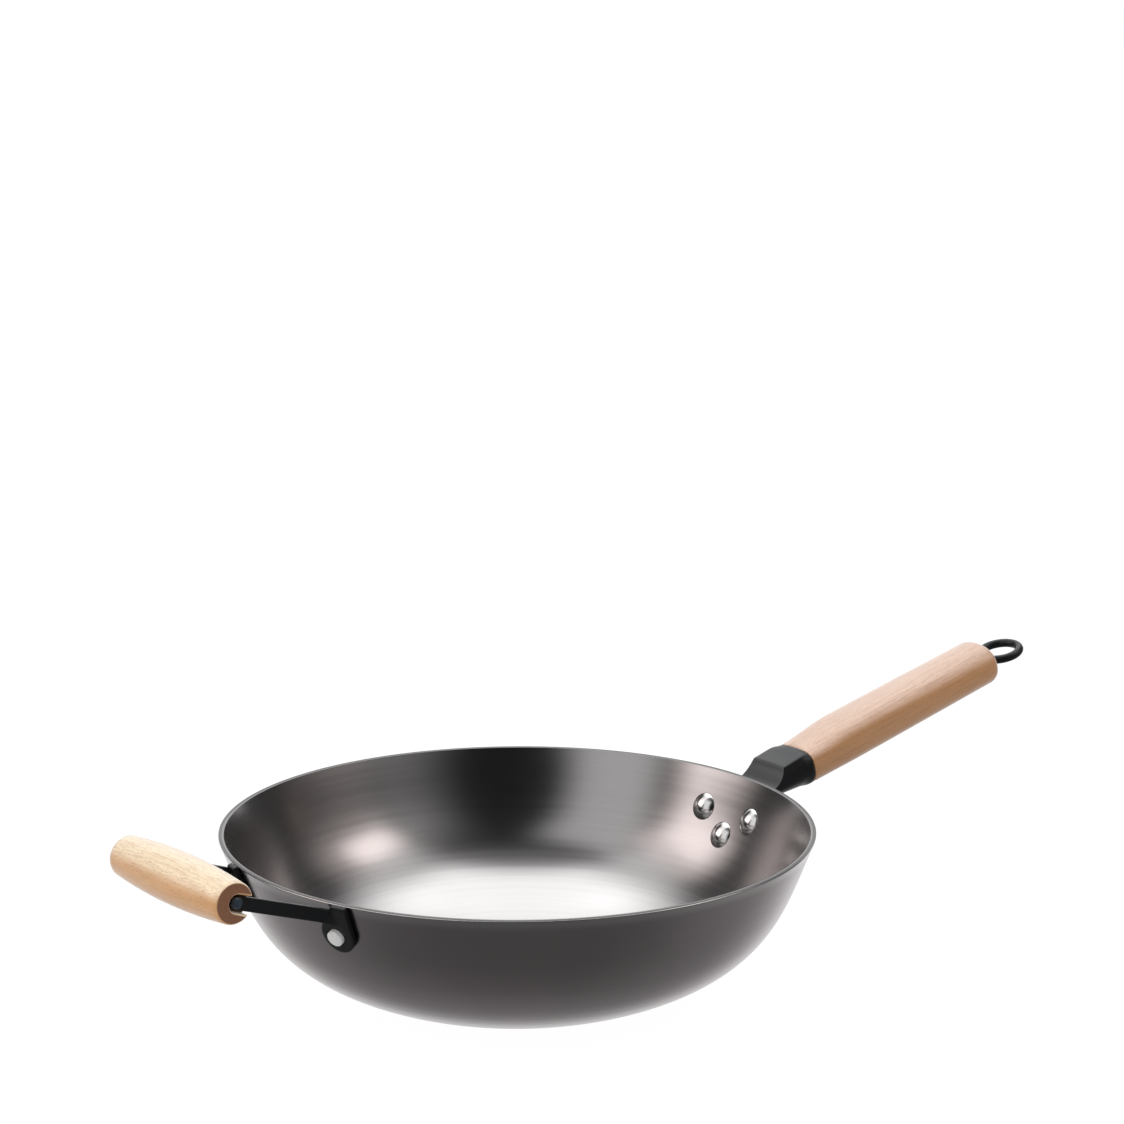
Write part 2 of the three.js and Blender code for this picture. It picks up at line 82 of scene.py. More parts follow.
def along_axis(tree, vector, axis):
    """How far a vector reaches along a fixed axis."""
    made = tree.nodes.new("ShaderNodeVectorMath")
    made.operation = "DOT_PRODUCT"
    tree.links.new(vector, made.inputs[0])
    made.inputs[1].default_value = axis
    return made.outputs["Value"]


def coordinates(tree, kind):
    """One kind of a surface's coordinates."""
    return tree.nodes.new("ShaderNodeTexCoord").outputs[kind]


def tone_ramp(tree, value, tones):
    """Grey tones at stops along a value from 0 to 1."""
    made = tree.nodes.new("ShaderNodeValToRGB")
    tree.links.new(value, made.inputs["Fac"])
    stops = made.color_ramp.elements
    stops[0].position, stops[1].position = tones[0][0], tones[-1][0]
    for position, _ in tones[1:-1]:
        stops.new(position)
    for stop, (_, tone) in zip(stops, tones):
        stop.color = (tone, tone, tone, 1)
    return made.outputs["Color"]


def blend_colours(tree, factor, first, second):
    """A mix of two colours by a factor socket."""
    made = tree.nodes.new("ShaderNodeMix")
    made.data_type = "RGBA"
    tree.links.new(factor, made.inputs["Factor"])
    for socket, colour in ((made.inputs["A"], first), (made.inputs["B"], second)):
        if isinstance(colour, tuple):
            socket.default_value = colour
        else:
            tree.links.new(colour, socket)
    return made.outputs["Result"]


def soft_box(tree, sight, azimuth, elevation, half_width, half_height, edge):
    """1 where the sight line ends on a soft box, which is placed by its angles from the camera's way."""
    turn, rise = math.radians(azimuth), math.radians(elevation)
    level = away * math.cos(turn) + aside * math.sin(turn)
    facing = level * math.cos(rise) + upward * math.sin(rise)
    across = aside * math.cos(turn) - away * math.sin(turn)
    up = upward * math.cos(rise) - level * math.sin(rise)
    inside = fade(tree, along_axis(tree, sight, facing), 0, 0.1)
    for axis, half in ((across, half_width), (up, half_height)):
        offset = calc(tree, "ABSOLUTE", along_axis(tree, sight, axis))
        reach = math.sin(math.radians(half))
        inside = calc(tree, "MULTIPLY", inside, fade(tree, offset, reach + edge, reach - edge))
    return inside


def add_lights(tree, sight, strength, lights):
    """Adds lights of (azimuth, elevation, half width, half height, softness, strength) to a strength."""
    for *shape, brightness in lights:
        strength = calc(tree, "MULTIPLY_ADD", soft_box(tree, sight, *shape), brightness, strength)
    return strength


white = (1, 1, 1, 1)
tent = bpy.data.worlds.new("light_tent")
bpy.context.scene.world = tent
tent.use_nodes = True
tree = tent.node_tree
tree.nodes.clear()
sight = coordinates(tree, "Generated")
depth = calc(tree, "MULTIPLY_ADD", along_axis(tree, sight, away), 0.5, 0.5)
height = along_axis(tree, sight, upward)

# The cloth behind the wok and the far table are white, and both fade to the dark room by the camera
cloth = tone_ramp(
    tree, depth, [(0, 0.012), (0.4, 0.025), (0.7, 0.035), (0.86, 0.08), (0.93, 1.0), (1, 1.4)])
table_tone = tone_ramp(
    tree, depth, [
        (0, 0.09), (0.3, 0.11), (0.4, 0.135), (0.5, 0.185), (0.6, 0.228), (0.7, 0.28), (0.75, 0.325),
        (0.8, 0.43), (0.85, 0.585), (0.9, 0.81), (1, 1.1)])
surroundings = blend_colours(tree, fade(tree, height, 0.03, -0.05), cloth, table_tone)

# A panel overhead and a screen behind, then the lit cloth beside the boxes and towards the camera
neutral = add_lights(tree, sight, surroundings, (
    (2, 68, 22.5, 22.5, 0.14, 2.07), (-4, 36, 22, 10, 0.08, 0.75), (-68, 57, 22, 9, 0.12, 0.9),
    (74, 56, 22, 8.3, 0.15, 0.85), (-137, 33, 17, 26, 0.14, 0.72), (124, 36, 14, 13, 0.26, 0.38),
    (180, 79, 27, 9, 0.19, 0.16)))
# One warm box on either side, each brightest in its middle
warm_white = (1, 0.9, 0.875, 1)
warm = add_lights(tree, sight, 0, (
    (-89, 26, 12.8, 11, 0.08, 1.05), (-88, 31, 19.5, 16.5, 0.1, 1.0), (97, 38.6, 11.7, 7.9, 0.1, 1.7),
    (86, 35, 16.5, 14.5, 0.2, 0.5)))

# Matt surfaces take less of the boxes and a soft fill from the room, and what is mirrored twice is dimmer
matt_loss, second_mirror_loss = 0.3, 0.34
left_strength, near_strength, depth_loss, ceiling_strength = 0.7, 0.58, 0.55, 0.3
path = tree.nodes.new("ShaderNodeLightPath").outputs
light_share = calc(tree, "MULTIPLY_ADD", path["Is Diffuse Ray"], -matt_loss, 1)
mirrored_twice = calc(tree, "GREATER_THAN", path["Glossy Depth"], 1.5)
light_share = calc(tree, "MULTIPLY_ADD", mirrored_twice, -second_mirror_loss, light_share)
left_front = away * -0.5 - aside * 0.8 + upward * 0.33
left_fill = calc(tree, "MAXIMUM", along_axis(tree, sight, left_front), 0)
room_fill = calc(tree, "MULTIPLY_ADD", depth, -depth_loss, near_strength)
room_fill = calc(tree, "MULTIPLY_ADD", calc(tree, "MAXIMUM", height, 0), ceiling_strength, room_fill)
front_fill = calc(tree, "MULTIPLY_ADD", left_fill, left_strength, room_fill)
front_fill = calc(tree, "MULTIPLY", path["Is Diffuse Ray"], front_fill)
neutral = calc(tree, "ADD", neutral, front_fill)
lights = tree.nodes.new("ShaderNodeAddShader")
for socket, strength, tint in ((0, neutral, white), (1, warm, warm_white)):
    glow = tree.nodes.new("ShaderNodeBackground")
    glow.inputs["Color"].default_value = tint
    tree.links.new(calc(tree, "MULTIPLY", strength, light_share), glow.inputs["Strength"])
    tree.links.new(glow.outputs[0], lights.inputs[socket])
seen_white = tree.nodes.new("ShaderNodeBackground")
seen_white.inputs["Color"].default_value = white
choice = tree.nodes.new("ShaderNodeMixShader")
tree.links.new(path["Is Camera Ray"], choice.inputs["Fac"])
tree.links.new(lights.outputs[0], choice.inputs[1])
tree.links.new(seen_white.outputs[0], choice.inputs[2])
tree.links.new(choice.outputs[0], tree.nodes.new("ShaderNodeOutputWorld").inputs["Surface"])


def new_finish(name):
    """A new material, its node tree and its shader."""
    made = bpy.data.materials.new(name)
    made.use_nodes = True
    return made, made.node_tree, made.node_tree.nodes["Principled BSDF"]


# The camera sees the table as white as the cloth, with only a breath of the wok's shadow
seen_glow, table_grey, seen_grey = 0.985, (0.8, 0.8, 0.8, 1), (0.06, 0.06, 0.06, 1)
bpy.ops.object.select_all(action="DESELECT")
bpy.ops.mesh.primitive_plane_add(size=12)
table = bpy.context.object
table.name = "white_table"
table.visible_glossy = False
white_top, tree, shader = new_finish("white_table_top")
shader.inputs["Roughness"].default_value = 1
shader.inputs["Specular IOR Level"].default_value = 0
shader.inputs["Emission Color"].default_value = white
seen = tree.nodes.new("ShaderNodeLightPath").outputs["Is Camera Ray"]
tree.links.new(calc(tree, "MULTIPLY", seen, seen_glow), shader.inputs["Emission Strength"])
tree.links.new(blend_colours(tree, seen, table_grey, seen_grey), shader.inputs["Base Color"])
table.data.materials.append(white_top)


# Bowl
# One shell of iron, pressed and turned to an even wall with a flat base, its rim cut level.
# The inside and outside are left with fine turning lines and a satin polish.
mm = 0.001
base_radius, rim_radius, rim_height = 60 * mm, 160 * mm, 90 * mm
base_thickness, rim_thickness = 4 * mm, 3 * mm
base_rise, rim_lean = math.radians(12.9), math.radians(22.8)
base_sweep, rim_sweep = 83 * mm, 43.2 * mm
wall_ends = [
    Vector((base_radius, 0)),
    Vector((base_radius + base_sweep * math.cos(base_rise), base_sweep * math.sin(base_rise))),
    Vector((rim_radius - rim_sweep * math.sin(rim_lean), rim_height - rim_sweep * math.cos(rim_lean))),
    Vector((rim_radius, rim_height))]


def wall_at(share, inward=0.0):
    """Point (radius, height) of the outer wall, moved inwards, and the wall's upward direction there."""
    a, b, c, d = wall_ends
    rest = 1 - share
    point = a * rest**3 + b * 3 * rest**2 * share + c * 3 * rest * share**2 + d * share**3
    climb = ((b - a) * rest**2 + (c - b) * 2 * rest * share + (d - c) * share**2).normalized()
    return point + Vector((-climb.y, climb.x)) * inward, climb


def wall_share(height):
    """How far along the wall a height lies."""
    low, high = 0.0, 1.0
    for _ in range(40):
        middle = (low + high) / 2
        if wall_at(middle)[0].y < height:
            low = middle
        else:
            high = middle
    return low


def close_ends():
    """Closes the open rings of the mesh in edit mode with fans of faces."""
    bpy.ops.mesh.select_all(action="SELECT")
    bpy.ops.mesh.fill_holes(sides=0)
    bpy.ops.mesh.select_face_by_sides(number=4, type="GREATER", extend=False)
    bpy.ops.mesh.poke()
    bpy.ops.mesh.select_all(action="SELECT")
    bpy.ops.mesh.normals_make_consistent(inside=False)


def turn_on_lathe(name, outline, segments):
    """Draws a ring along an outline of (radius, height) points about Z, and closes its two ends."""
    bpy.ops.object.select_all(action="DESELECT")
    radius, height = outline[0]
    bpy.ops.mesh.primitive_circle_add(vertices=segments, radius=radius, location=(0, 0, height))
    piece = bpy.context.object
    piece.name = name
    bpy.ops.object.transform_apply(location=True, rotation=True, scale=True)
    bpy.ops.object.mode_set(mode="EDIT")
    for next_radius, next_height in outline[1:]:
        bpy.ops.mesh.extrude_edges_move(TRANSFORM_OT_translate={"value": (0, 0, next_height - height)})
        growth = next_radius / radius
        bpy.ops.transform.resize(value=(growth, growth, 1), center_override=(0, 0, next_height))
        radius, height = next_radius, next_height
    close_ends()
    bpy.ops.object.mode_set(mode="OBJECT")
    return piece


def set_in_place(piece, place):
    """Moves a piece to its place and puts the place into its mesh."""
    bpy.ops.object.select_all(action="DESELECT")
    piece.select_set(True)
    bpy.context.view_layer.objects.active = piece
    piece.matrix_world = place
    bpy.ops.object.transform_apply(location=True, rotation=True, scale=True)


def fit_piece(piece, place, material, crease, node):
    """Sets a piece in its place, gives it its finish and its body, and hides the CAD node's part that it
    replaces.
    """
    set_in_place(piece, place)
    bpy.ops.object.shade_smooth_by_angle(angle=math.radians(crease))
    piece.data.name = piece.name
    piece.data.materials.clear()
    piece.data.materials.append(material)
    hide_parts(node)
    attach(piece, "root")


def arc(centre, radius, start, end, steps):
    """Points (radius, height) on part of a circle, its angles in degrees."""
    turns = [math.radians(start + (end - start) * i / steps) for i in range(steps + 1)]
    return [(centre[0] + radius * math.cos(turn), centre[1] + radius * math.sin(turn)) for turn in turns]


# The outline runs from the middle of the base up the outer wall, over the rim and down to the floor
edge_round, floor_height = 0.55 * mm, 4.05 * mm
outer_steps, inner_steps, bowl_segments = 46, 47, 192
rim_width = rim_thickness / math.cos(rim_lean)
bowl_outline = [(r * mm, 0) for r in (6, 20, 35, 48, 55)]
bowl_outline += [(58 * mm, 0.02 * mm), (60 * mm, 0.13 * mm), (62 * mm, 0.46 * mm)]
bowl_outline += [tuple(wall_at(0.016 + 0.976 * i / outer_steps)[0]) for i in range(outer_steps + 1)]
bowl_outline += arc((rim_radius - 0.75 * mm, rim_height - edge_round), edge_round, 10, 90, 5)
bowl_outline += arc((rim_radius - rim_width + 0.4 * mm, rim_height - edge_round), edge_round, 90, 190, 6)
for i in range(inner_steps + 1):
    share = 0.99 - 0.97 * i / inner_steps
    thickness = base_thickness + (rim_thickness - base_thickness) * share
    bowl_outline.append(tuple(wall_at(share, thickness)[0]))
bowl_outline += [(58 * mm, 4.13 * mm), (55.5 * mm, floor_height)]
bowl_outline += [(r * mm, floor_height) for r in (52, 42, 30, 17, 6)]
wok_body = turn_on_lathe("iron_bowl", bowl_outline, bowl_segments)


def split(tree, vector):
    """The X, Y and Z of a vector."""
    made = tree.nodes.new("ShaderNodeSeparateXYZ")
    tree.links.new(vector, made.inputs["Vector"])
    return made.outputs


def axis_distance(tree, spot):
    """How far a spot lies from the bowl's axis."""
    squares = [calc(tree, "POWER", spot[axis], 2) for axis in ("X", "Y")]
    return calc(tree, "SQRT", calc(tree, "ADD", *squares))


def noise(tree, vector, scale, detail=2.0, roughness=0.5, distortion=0.0):
    """Noise in space, or along one line where the vector is a plain number."""
    made = tree.nodes.new("ShaderNodeTexNoise")
    made.inputs["Scale"].default_value = scale
    made.inputs["Detail"].default_value = detail
    made.inputs["Roughness"].default_value = roughness
    made.inputs["Distortion"].default_value = distortion
    if vector.type == "VALUE":
        made.noise_dimensions = "1D"
        tree.links.new(vector, made.inputs["W"])
    else:
        tree.links.new(vector, made.inputs["Vector"])
    return made.outputs["Fac"]


def add_bump(tree, height, strength, distance, under=None):
    """Normals that follow a height, on top of those of another bump."""
    made = tree.nodes.new("ShaderNodeBump")
    made.inputs["Strength"].default_value = strength
    made.inputs["Distance"].default_value = distance
    tree.links.new(height, made.inputs["Height"])
    if under is not None:
        tree.links.new(under, made.inputs["Normal"])
    return made.outputs["Normal"]


def draw_highlights_across(tree, shader, amount):
    """Draws highlights out across the lathe's lines, which run around the bowl's axis."""
    shader.inputs["Anisotropic"].default_value = amount
    shader.inputs["Anisotropic Rotation"].default_value = 0.25
    line_way = tree.nodes.new("ShaderNodeTangent")
    line_way.direction_type = "RADIAL"
    line_way.axis = "Z"
    tree.links.new(line_way.outputs["Tangent"], shader.inputs["Tangent"])


iron, tree, shader = new_finish("turned_iron")
shader.inputs["Metallic"].default_value = 1
draw_highlights_across(tree, shader, 0.2)
place = coordinates(tree, "Object")
spot = split(tree, place)
facing = split(tree, coordinates(tree, "Normal"))
up_the_wall = calc(tree, "ADD", axis_distance(tree, spot), spot["Z"])
fine_lines = noise(tree, up_the_wall, 1800, 3, 0.6)
wide_lines = noise(tree, up_the_wall, 260, 2)
soft_rings = noise(tree, up_the_wall, 75, 1)
clouds = noise(tree, place, 14, 3)
lines = calc(tree, "MULTIPLY_ADD", wide_lines, 0.6, calc(tree, "MULTIPLY", fine_lines, 0.4))
shade = calc(tree, "MULTIPLY_ADD", clouds, 0.5, calc(tree, "MULTIPLY", lines, 0.5))
polished = blend_colours(
    tree, fade(tree, shade, 0.3, 0.7), (0.442, 0.428, 0.429, 1), (0.482, 0.468, 0.469, 1))
# The outside is browner and duller. Just under the rim it is painted lighter, a painted reflection of the
# lit table in front
dull = blend_colours(
    tree, fade(tree, clouds, 0.35, 0.65), (0.435, 0.4, 0.406, 1), (0.48, 0.432, 0.44, 1))
painted_rim_reflection = fade(tree, spot["Z"], 83 * mm, 89.4 * mm)
dull = blend_colours(tree, painted_rim_reflection, dull, (0.64, 0.62, 0.616, 1))
outward = calc(tree, "ADD", *[calc(tree, "MULTIPLY", spot[axis], facing[axis]) for axis in ("X", "Y")])
outside = fade(tree, outward, 0.0, 0.01)
tree.links.new(blend_colours(tree, outside, polished, dull), shader.inputs["Base Color"])
satin = calc(tree, "MULTIPLY_ADD", clouds, 0.05, calc(tree, "MULTIPLY_ADD", lines, 0.06, 0.165))
tree.links.new(satin, shader.inputs["Roughness"])
waves = add_bump(tree, soft_rings, 1, 0.05 * mm)
tree.links.new(add_bump(tree, lines, 0.06, 0.02 * mm, waves), shader.inputs["Normal"])
fit_piece(wok_body, Matrix.Identity(4), iron, 40, "wok_body")

# The rim's top is cut on the lathe, so its lines catch the light across them. A band by the inner edge is
# painted lighter, a painted highlight
cut_iron, tree, shader = new_finish("cut_rim")
shader.inputs["Metallic"].default_value = 1
draw_highlights_across(tree, shader, 0.8)
place = coordinates(tree, "Object")
scuffs = noise(tree, place, 400, 3)
cut_tone = blend_colours(tree, scuffs, (0.08, 0.079, 0.079, 1), (0.11, 0.108, 0.108, 1))
from_axis = axis_distance(tree, split(tree, place))
painted_edge_highlight = fade(tree, from_axis, rim_radius - 1.9 * mm, rim_radius - 2.5 * mm)
cut_tone = blend_colours(tree, painted_edge_highlight, cut_tone, (0.23, 0.226, 0.226, 1))
tree.links.new(cut_tone, shader.inputs["Base Color"])
tree.links.new(calc(tree, "MULTIPLY_ADD", scuffs, 0.1, 0.35), shader.inputs["Roughness"])
wok_body.data.materials.append(cut_iron)
for face in wok_body.data.polygons:
    if face.normal.z > 0.9 and face.center.z > rim_height - 0.2 * mm:
        face.material_index = 1


# Bracket of the long handle
# Forged black steel: a strap from the wall that hollows up over the rim into a flat-topped lug, whose
# far end is the oval socket of the grip. A thin plate against the wall takes its three rivets.
tilt = math.radians(14.4)
handle_place = Matrix.Translation((200.4 * mm, 0, rim_height)) @ Matrix.Rotation(-tilt, 4, "Y")
socket_half, socket_top, socket_bottom, socket_fullness = 15.7 * mm, 10.5 * mm, 12 * mm, (3.2, 2.3)
flat_half, waist_half, waist, keel_fullness = 12.7 * mm, 15.5 * mm, -0.7 * mm, 1.8
top_crown, top_fall, belly_depth, belly_fall, side_bow = 0.25 * mm, 0.05, 11.9 * mm, 0.16, 1.7
flat_steps, belly_steps = 8, 14


def pull_sections(name, sections, finish=close_ends):
    """Draws a ring of edges through sections with equal counts of points, and finishes its ends."""
    bpy.ops.object.select_all(action="DESELECT")
    bpy.ops.mesh.primitive_circle_add(vertices=len(sections[0]), radius=10 * mm)
    piece = bpy.context.object
    piece.name = name
    bpy.ops.object.mode_set(mode="EDIT")
    mesh = bmesh.from_edit_mesh(piece.data)
    order = mesh.verts.layers.int.new("order")
    for vertex in mesh.verts:
        vertex[order] = vertex.index
        vertex.co = sections[0][vertex.index]
    bmesh.update_edit_mesh(piece.data)
    for section in sections[1:]:
        bpy.ops.mesh.extrude_edges_move()
        mesh = bmesh.from_edit_mesh(piece.data)
        order = mesh.verts.layers.int["order"]
        for vertex in mesh.verts:
            if vertex.select:
                vertex.co = section[vertex[order]]
        bmesh.update_edit_mesh(piece.data)
    finish()
    bpy.ops.object.mode_set(mode="OBJECT")
    piece.data.attributes.remove(piece.data.attributes["order"])
    return piece


def oval(half, top, bottom, fullness, turn):
    """Point (across, up) of an oval at a turn from its right side. Each half has its own fullness."""
    across, up = math.cos(turn), math.sin(turn)
    reach, power = (top, fullness[0]) if up > 0 else (bottom, fullness[1])
    return (half * math.copysign(abs(across) ** (2 / power), across),
            reach * math.copysign(abs(up) ** (2 / power), up))


def flat_top(station):
    """Height of the lug's flat top, which falls a little towards the bowl."""
    return socket_top + top_fall * station


def lug_section(station, top, fold, upper, lower):
    """Section of the lug: folded flat top, sides to a waist and keeled belly, eased to the socket's oval."""
    def side_half(up):
        share = max(0.0, (up - waist) / (flat_top(station) - waist))
        return flat_half + (waist_half - flat_half) * (1 - min(1.0, share) ** side_bow)

    corner = side_half(top - fold) - fold
    half_ring = []
    for i in range(flat_steps + 1):
        share = i / flat_steps
        half_ring.append((corner * i / flat_steps, top + top_crown * (1 - share**2)))
    for turn in (72, 54, 36, 18):
        turn = math.radians(turn)
        half_ring.append((corner + fold * math.cos(turn), top - fold + fold * math.sin(turn)))
    for i in range(flat_steps + 1):
        up = top - fold + (waist - top + fold) * i / flat_steps
        half_ring.append((side_half(up), up))
    depth = belly_depth + belly_fall * station
    for i in range(1, belly_steps + 1):
        across, up = oval(waist_half, 0, depth, (2, keel_fullness), -math.pi / 2 * i / belly_steps)
        half_ring.append((across, waist + up))
    eased = []
    for across, up in half_ring:
        roundness = lower + (upper - lower) * min(1.0, max(0.0, 0.5 + up / (8 * mm)))
        turn = math.atan2(up, across)
        half = 0 if up > 0 else 1
        reach, power = (socket_top, socket_bottom)[half], socket_fullness[half]
        radius = ((abs(math.cos(turn)) / socket_half) ** power
                  + (abs(math.sin(turn)) / reach) ** power) ** (-1 / power)
        eased.append((across + (radius * math.cos(turn) - across) * roundness,
                      up + (radius * math.sin(turn) - up) * roundness))
    ring = eased + [(-across, up) for across, up in reversed(eased[1:-1])]
    return [handle_place @ Vector((station, across, up)) for across, up in ring]


# Sections of the socket: station in mm, roundness of the upper and the lower half, and scale
lug_rings = []
for station, upper, lower, shrink in (
        (-0.05, 1, 1, 0.955), (-0.25, 1, 1, 0.985), (-0.7, 1, 1, 1), (-1.6, 0.95, 1, 1),
        (-2.6, 0.78, 0.85, 1), (-3.6, 0.55, 0.58, 1), (-4.6, 0.34, 0.3, 1), (-5.6, 0.2, 0.1, 1),
        (-6.6, 0.11, 0, 1), (-8, 0.04, 0, 1), (-10, 0, 0, 1), (-14, 0, 0, 1), (-17.5, 0, 0, 1)):
    ring = lug_section(station * mm, flat_top(station * mm), 1.2 * mm, upper, lower)
    middle = handle_place @ Vector((station * mm, 0, 0))
    lug_rings.append([middle + (point - middle) * shrink for point in ring])
# The hollow over the rim is part of a circle, from the end of the flat top down to the strap
saddle_radius, saddle_steps = 16 * mm, 14
saddle_middle = handle_place.inverted() @ Vector((163.2 * mm, 0, rim_height + 8 * mm))
saddle_drop = saddle_middle.z - flat_top(-20 * mm)
flat_end = saddle_middle.x + math.sqrt(saddle_radius**2 - saddle_drop**2)
lug_rings.append(lug_section(flat_end + 0.4 * mm, flat_top(flat_end), 0.7 * mm, 0, 0))
start_turn = math.degrees(math.asin(saddle_drop / saddle_radius))
for i in range(saddle_steps + 1):
    turn = math.radians(start_turn + 1.5 + (88 - start_turn) * i / saddle_steps)
    station = saddle_middle.x + saddle_radius * math.cos(turn)
    hollow = saddle_middle.z - saddle_radius * math.sin(turn)
    lug_rings.append(lug_section(station, hollow, 0.5 * mm, 0, 0))


def against_wall(point, way, gap):
    """Moves a point along a way until it stands off the bowl's outer wall by a gap."""
    near, far = 0.0, 30 * mm
    for _ in range(40):
        middle = (near + far) / 2
        probe = point + way * middle
        wall_radius = wall_at(wall_share(probe.z))[0].x
        if Vector((probe.x, probe.y)).length > wall_radius + gap:
            near = middle
        else:
            far = middle
    return point + way * near


strap_way = (handle_place.to_3x3() @ Vector((-1, 0, 0.12))).normalized()
strap_end = [against_wall(point, strap_way, 0.5 * mm) for point in lug_rings[-1]]
lug_rings += [[a.lerp(b, share) for a, b in zip(lug_rings[-1], strap_end)] for share in (0.5, 1.0)]
lug = pull_sections("handle_bracket_lug", lug_rings)


def close_middle():
    """Closes the selected last ring of a sheet with a fan of faces."""
    bpy.ops.mesh.edge_face_add()
    bpy.ops.mesh.poke()


def use_modifier(piece, kind, **settings):
    """Puts a modifier on a piece and applies it."""
    bpy.ops.object.select_all(action="DESELECT")
    piece.select_set(True)
    bpy.context.view_layer.objects.active = piece
    made = piece.modifiers.new(kind.lower(), kind)
    for setting, value in settings.items():
        setattr(made, setting, value)
    bpy.ops.object.modifier_apply(modifier=made.name)


fit_gap = 0.3 * mm


def wall_sheet(name, outline, azimuth, height, thickness):
    """Sheet that lies on the outer wall, cut to an outline (across, up) about a point of the wall."""
    middle = sum((Vector(point) for point in outline), Vector((0, 0))) / len(outline)
    turn = Matrix.Rotation(azimuth, 4, "Z")
    sections = []
    for share in (1, 0.85, 0.7, 0.55, 0.4, 0.25, 0.1):
        ring = []
        for point in outline:
            across, up = middle + (Vector(point) - middle) * share
            low_wall, climb = wall_at(wall_share(min(height + up, rim_height)))
            lean = climb.x / climb.y * max(0.0, height + up - rim_height)
            wall_radius = low_wall.x + lean + fit_gap
            ring.append(turn @ Vector((math.sqrt(wall_radius**2 - across**2), across, height + up)))
        sections.append(ring)
    sheet = pull_sections(name, sections, close_middle)
    outward = turn.to_3x3() @ Vector((1, 0, 0))
    if sheet.data.polygons[0].normal.dot(outward) < 0:
        bpy.ops.object.mode_set(mode="EDIT")
        bpy.ops.mesh.select_all(action="SELECT")
        bpy.ops.mesh.flip_normals()
        bpy.ops.object.mode_set(mode="OBJECT")
    use_modifier(sheet, "SOLIDIFY", thickness=thickness, offset=1, use_even_offset=True)
    use_modifier(
        sheet, "BEVEL", width=0.5 * mm, segments=3, limit_method="ANGLE", angle_limit=math.radians(50))
    return sheet


def rounded_outline(points, margin, steps):
    """Outline at one distance around points that are given anticlockwise."""
    outline = []
    for i, point in enumerate(points):
        before, after = points[i - 1], points[(i + 1) % len(points)]
        start = math.atan2(point[1] - before[1], point[0] - before[0]) - math.pi / 2
        end = math.atan2(after[1] - point[1], after[0] - point[0]) - math.pi / 2
        if end < start:
            end += 2 * math.pi
        for k in range(steps + 1):
            turn = start + (end - start) * k / steps
            outline.append((point[0] + margin * math.cos(turn), point[1] + margin * math.sin(turn)))
    return outline


def along_edges(outline, spacing):
    """The outline with points added on its long edges."""
    filled = []
    for i, point in enumerate(outline):
        after = outline[(i + 1) % len(outline)]
        count = max(1, round(math.dist(point, after) / spacing))
        for k in range(count):
            filled.append(tuple(a + (b - a) * k / count for a, b in zip(point, after)))
    return filled


def join_pieces(name, first, *others):
    """Joins pieces into the first one, under a new name."""
    bpy.ops.object.select_all(action="DESELECT")
    for piece in (first, *others):
        piece.select_set(True)
    bpy.context.view_layer.objects.active = first
    bpy.ops.object.join()
    first.name = name
    return first


rivet_spacing, rivet_drop, low_rivet_drop = 39.4 * mm, 21.6 * mm, 33.4 * mm
plate_thickness, plate_margin = 3 * mm, 9.5 * mm
plate_corners = [(-rivet_spacing / 2, -rivet_drop), (0, -low_rivet_drop), (rivet_spacing / 2, -rivet_drop)]
plate_outline = along_edges(rounded_outline(plate_corners, plate_margin, 12), 2 * mm)
plate = wall_sheet("handle_bracket_plate", plate_outline, 0, rim_height, plate_thickness)
handle_bracket = join_pieces("forged_bracket", lug, plate)

black_coat, tree, shader = new_finish("black_coat")
shader.inputs["Specular IOR Level"].default_value = 0.42
shader.inputs["Specular Tint"].default_value = (0.93, 0.97, 1, 1)
place = coordinates(tree, "Object")
skin = noise(tree, place, 900, 2)
mottle = noise(tree, place, 60, 3)
coat_tone = blend_colours(tree, mottle, (0.006, 0.0063, 0.0072, 1), (0.011, 0.0115, 0.013, 1))
# Where the hollow over the rim faces the bowl, its lower part is painted grey, a painted reflection of the
# lit room above
spot = split(tree, place)
facing = split(tree, coordinates(tree, "Normal"))
handle_side = fade(tree, spot["X"], 100 * mm, 120 * mm)
hollow_height = fade(tree, spot["Z"], rim_height + 11 * mm, rim_height + 3 * mm)
painted_hollow_reflection = calc(tree, "MULTIPLY", fade(tree, facing["X"], -0.1, -0.5), handle_side)
painted_hollow_reflection = calc(tree, "MULTIPLY", painted_hollow_reflection, hollow_height)
coat_tone = blend_colours(tree, painted_hollow_reflection, coat_tone, (0.058, 0.058, 0.06, 1))
tree.links.new(coat_tone, shader.inputs["Base Color"])
satin = calc(tree, "MULTIPLY_ADD", mottle, 0.08, calc(tree, "MULTIPLY_ADD", skin, 0.05, 0.31))
tree.links.new(satin, shader.inputs["Roughness"])
tree.links.new(add_bump(tree, skin, 0.2, 0.03 * mm), shader.inputs["Normal"])
fit_piece(handle_bracket, Matrix.Identity(4), black_coat, 35, "handle_bracket")


# Rivets
# Bright steel rivets through wall and plate: a polished dome inside the bowl, and a low head that was
# set flat outside. Three hold the bracket, and one holds each foot of the helper handle.
dome_radius, dome_height, dome_edge = 7.7 * mm, 3.6 * mm, 0.5 * mm
shank_radius, head_height, head_round = 3 * mm, 2.7 * mm, 0.9 * mm
bracket_head, helper_head = 4.8 * mm, 4.5 * mm
rivet_steel, tree, shader = new_finish("polished_rivet")
shader.inputs["Metallic"].default_value = 1
haze = noise(tree, coordinates(tree, "Object"), 700, 3)
dome_tone = blend_colours(tree, haze, (0.84, 0.835, 0.825, 1), (0.92, 0.915, 0.905, 1))
tree.links.new(dome_tone, shader.inputs["Base Color"])
tree.links.new(calc(tree, "MULTIPLY_ADD", haze, 0.06, 0.1), shader.inputs["Roughness"])

